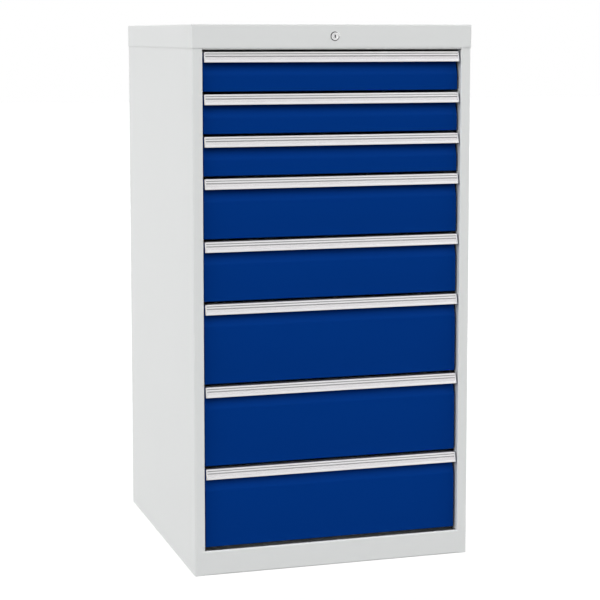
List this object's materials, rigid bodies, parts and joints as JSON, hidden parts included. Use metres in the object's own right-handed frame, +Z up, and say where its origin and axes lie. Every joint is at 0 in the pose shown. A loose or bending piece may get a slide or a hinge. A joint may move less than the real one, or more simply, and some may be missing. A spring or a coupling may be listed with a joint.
{
  "type": "drawer cabinet",
  "caption": "Floor-standing sheet-steel cabinet with stacked full-extension drawers in three heights, aluminium grip strips along the fronts and one central lock in the head fascia.",
  "frame": {"origin": "on the floor, at the middle of the whole cabinet in plan", "axes": "+X to the right seen from the front, +Y from the drawer fronts to the back, +Z up"},
  "size_m": [0.705, 0.738, 1.325],
  "materials": {
    "grey_paint": "light grey powder coat, fine texture, satin",
    "blue_paint": "deep blue powder coat, smooth, semi-gloss",
    "tray_paint": "light grey powder coat, satin",
    "grip_aluminium": "satin anodised, drawn lengthwise",
    "label_clear": "clear cover over a plain pale label",
    "zinc_plate": "bright zinc plate",
    "lock_chrome": "nickel plated, fine turned"
  },
  "bodies": {
    "carcass": {"side_panel_left": "grey_paint", "side_panel_right": "grey_paint", "back_panel": "grey_paint", "top_cover": "grey_paint", "base_frame": "grey_paint", "header_rail": "grey_paint", "slotted_uprights": "zinc_plate", "cabinet_rails": "zinc_plate", "lock_housing": "lock_chrome", "lock_bar_guides": "zinc_plate"},
    "drawer_1": {"drawer_1_box": "tray_paint", "drawer_1_front": "blue_paint", "drawer_1_grip": "grip_aluminium", "drawer_1_label": "label_clear", "drawer_1_runners": "zinc_plate"},
    "mid_rails_1": {"drawer_1_mid_rails": "zinc_plate"},
    "drawer_2": {"drawer_2_box": "tray_paint", "drawer_2_front": "blue_paint", "drawer_2_grip": "grip_aluminium", "drawer_2_label": "label_clear", "drawer_2_runners": "zinc_plate"},
    "mid_rails_2": {"drawer_2_mid_rails": "zinc_plate"},
    "drawer_3": {"drawer_3_box": "tray_paint", "drawer_3_front": "blue_paint", "drawer_3_grip": "grip_aluminium", "drawer_3_label": "label_clear", "drawer_3_runners": "zinc_plate"},
    "mid_rails_3": {"drawer_3_mid_rails": "zinc_plate"},
    "drawer_4": {"drawer_4_box": "tray_paint", "drawer_4_front": "blue_paint", "drawer_4_grip": "grip_aluminium", "drawer_4_label": "label_clear", "drawer_4_runners": "zinc_plate"},
    "mid_rails_4": {"drawer_4_mid_rails": "zinc_plate"},
    "drawer_5": {"drawer_5_box": "tray_paint", "drawer_5_front": "blue_paint", "drawer_5_grip": "grip_aluminium", "drawer_5_label": "label_clear", "drawer_5_runners": "zinc_plate"},
    "mid_rails_5": {"drawer_5_mid_rails": "zinc_plate"},
    "drawer_6": {"drawer_6_box": "tray_paint", "drawer_6_front": "blue_paint", "drawer_6_grip": "grip_aluminium", "drawer_6_label": "label_clear", "drawer_6_runners": "zinc_plate"},
    "mid_rails_6": {"drawer_6_mid_rails": "zinc_plate"},
    "drawer_7": {"drawer_7_box": "tray_paint", "drawer_7_front": "blue_paint", "drawer_7_grip": "grip_aluminium", "drawer_7_label": "label_clear", "drawer_7_runners": "zinc_plate"},
    "mid_rails_7": {"drawer_7_mid_rails": "zinc_plate"},
    "drawer_8": {"drawer_8_box": "tray_paint", "drawer_8_front": "blue_paint", "drawer_8_grip": "grip_aluminium", "drawer_8_label": "label_clear", "drawer_8_runners": "zinc_plate"},
    "mid_rails_8": {"drawer_8_mid_rails": "zinc_plate"},
    "lock_plug": {"lock_plug": "lock_chrome"},
    "lock_bar": {"lock_bar": "zinc_plate"}
  },
  "joints": [
    {"name": "drawer_1_slide", "type": "slide", "parent": "carcass", "child": "drawer_1", "axis": [0, -1, 0], "range_m": [0, 0.6]},
    {"name": "mid_rails_1_slide", "type": "slide", "parent": "carcass", "child": "mid_rails_1", "axis": [0, -1, 0], "range_m": [0, 0.3]},
    {"name": "drawer_2_slide", "type": "slide", "parent": "carcass", "child": "drawer_2", "axis": [0, -1, 0], "range_m": [0, 0.6]},
    {"name": "mid_rails_2_slide", "type": "slide", "parent": "carcass", "child": "mid_rails_2", "axis": [0, -1, 0], "range_m": [0, 0.3]},
    {"name": "drawer_3_slide", "type": "slide", "parent": "carcass", "child": "drawer_3", "axis": [0, -1, 0], "range_m": [0, 0.6]},
    {"name": "mid_rails_3_slide", "type": "slide", "parent": "carcass", "child": "mid_rails_3", "axis": [0, -1, 0], "range_m": [0, 0.3]},
    {"name": "drawer_4_slide", "type": "slide", "parent": "carcass", "child": "drawer_4", "axis": [0, -1, 0], "range_m": [0, 0.6]},
    {"name": "mid_rails_4_slide", "type": "slide", "parent": "carcass", "child": "mid_rails_4", "axis": [0, -1, 0], "range_m": [0, 0.3]},
    {"name": "drawer_5_slide", "type": "slide", "parent": "carcass", "child": "drawer_5", "axis": [0, -1, 0], "range_m": [0, 0.6]},
    {"name": "mid_rails_5_slide", "type": "slide", "parent": "carcass", "child": "mid_rails_5", "axis": [0, -1, 0], "range_m": [0, 0.3]},
    {"name": "drawer_6_slide", "type": "slide", "parent": "carcass", "child": "drawer_6", "axis": [0, -1, 0], "range_m": [0, 0.6]},
    {"name": "mid_rails_6_slide", "type": "slide", "parent": "carcass", "child": "mid_rails_6", "axis": [0, -1, 0], "range_m": [0, 0.3]},
    {"name": "drawer_7_slide", "type": "slide", "parent": "carcass", "child": "drawer_7", "axis": [0, -1, 0], "range_m": [0, 0.6]},
    {"name": "mid_rails_7_slide", "type": "slide", "parent": "carcass", "child": "mid_rails_7", "axis": [0, -1, 0], "range_m": [0, 0.3]},
    {"name": "drawer_8_slide", "type": "slide", "parent": "carcass", "child": "drawer_8", "axis": [0, -1, 0], "range_m": [0, 0.6]},
    {"name": "mid_rails_8_slide", "type": "slide", "parent": "carcass", "child": "mid_rails_8", "axis": [0, -1, 0], "range_m": [0, 0.3]},
    {"name": "lock_turn", "type": "hinge", "parent": "carcass", "child": "lock_plug", "pos_m": [0, -0.367, 1.2965], "axis": [0, 1, 0], "range_deg": [0, 90]},
    {"name": "lock_bar_lift", "type": "slide", "parent": "carcass", "child": "lock_bar", "axis": [0, 0, 1], "range_m": [0, 0.01273]}
  ],
  "couplings": [
    {"joint": "mid_rails_1_slide", "follows": "drawer_1_slide", "ratio": 0.5},
    {"joint": "mid_rails_2_slide", "follows": "drawer_2_slide", "ratio": 0.5},
    {"joint": "mid_rails_3_slide", "follows": "drawer_3_slide", "ratio": 0.5},
    {"joint": "mid_rails_4_slide", "follows": "drawer_4_slide", "ratio": 0.5},
    {"joint": "mid_rails_5_slide", "follows": "drawer_5_slide", "ratio": 0.5},
    {"joint": "mid_rails_6_slide", "follows": "drawer_6_slide", "ratio": 0.5},
    {"joint": "mid_rails_7_slide", "follows": "drawer_7_slide", "ratio": 0.5},
    {"joint": "mid_rails_8_slide", "follows": "drawer_8_slide", "ratio": 0.5},
    {"joint": "lock_turn", "follows": "lock_bar_lift", "rad_per_m": 123.41}
  ]
}
